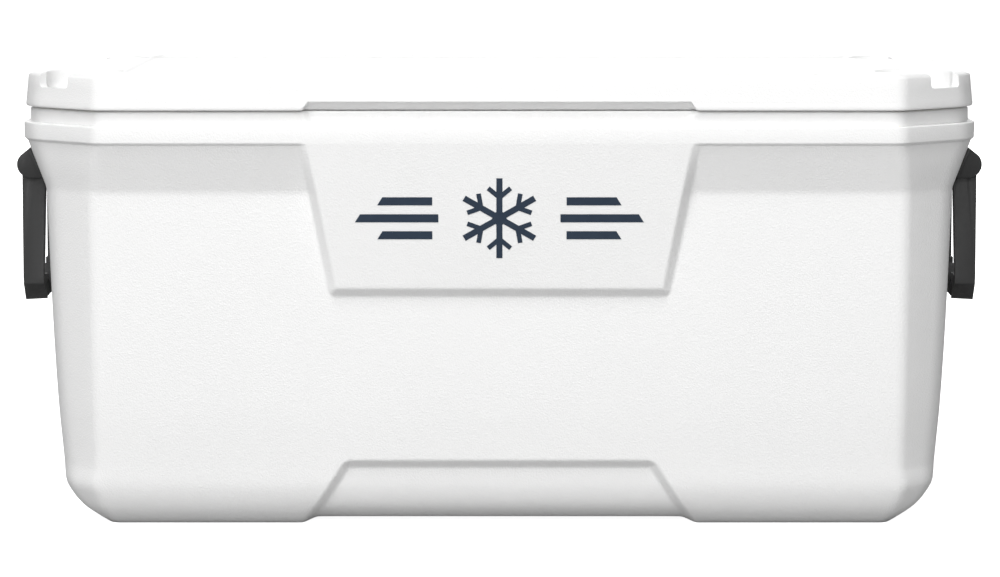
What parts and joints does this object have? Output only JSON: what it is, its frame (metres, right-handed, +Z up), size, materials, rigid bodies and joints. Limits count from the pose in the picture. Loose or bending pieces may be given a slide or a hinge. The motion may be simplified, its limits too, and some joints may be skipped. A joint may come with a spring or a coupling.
{
  "type": "hard cooler chest",
  "caption": "Large insulated hard chest with a hinged lid, corner cup holders, swing handles at both ends and a recessed drain.",
  "frame": {"origin": "middle of the footprint, on the surface that the chest stands on", "axes": "+Z up, +X along the length towards the drain end, -Y out of the front panel"},
  "size_m": [0.9696, 0.455, 0.4535],
  "materials": {
    "shell_white": "white moulded polyethylene with a fine pebble grain",
    "liner_white": "smooth white moulded plastic",
    "foam": "rigid cream insulating foam",
    "hinge_white": "white moulded plastic, satin",
    "steel": "stainless steel",
    "handle_dark": "dark grey moulded plastic with a fine grain",
    "grip_dark": "dark ribbed soft grip",
    "seal_rubber": "black rubber",
    "decal_navy": "dark navy printed film"
  },
  "bodies": {
    "chest": {"outer_shell": "shell_white", "inner_liner": "liner_white", "foam_core": "foam", "hinge_body_leaves": "hinge_white", "hinge_pins": "steel", "hinge_body_screws": "steel", "handle_bracket_left_front": "handle_dark", "handle_bracket_left_rear": "handle_dark", "handle_bracket_right_front": "handle_dark", "handle_bracket_right_rear": "handle_dark", "handle_pivot_pins": "steel", "handle_bracket_screws": "steel", "drain_spout": "liner_white", "drain_gasket": "seal_rubber", "drain_nut": "liner_white", "drain_tether": "seal_rubber", "front_decal": "decal_navy"},
    "lid": {"lid_top_shell": "shell_white", "lid_foam": "foam", "lid_bottom_shell": "liner_white", "hinge_lid_leaves": "hinge_white", "hinge_lid_screws": "steel"},
    "handle_left": {"handle_bail_left": "handle_dark", "handle_grip_left": "grip_dark"},
    "handle_right": {"handle_bail_right": "handle_dark", "handle_grip_right": "grip_dark"},
    "drain_cap": {"drain_cap": "hinge_white", "drain_cap_seal": "seal_rubber"}
  },
  "joints": [
    {"name": "lid_hinge", "type": "hinge", "parent": "chest", "child": "lid", "pos_m": [0, 0.221, 0.41], "axis": [-1, 0, 0], "range_deg": [0, 100]},
    {"name": "handle_left_swing", "type": "hinge", "parent": "chest", "child": "handle_left", "pos_m": [-0.4734, 0, 0.3544], "axis": [0, 1, 0], "range_deg": [0, 110]},
    {"name": "handle_right_swing", "type": "hinge", "parent": "chest", "child": "handle_right", "pos_m": [0.4734, 0, 0.3544], "axis": [0, -1, 0], "range_deg": [0, 110]},
    {"name": "drain_cap_pull", "type": "slide", "parent": "chest", "child": "drain_cap", "axis": [1, 0, 0], "range_m": [0, 0.025]}
  ]
}
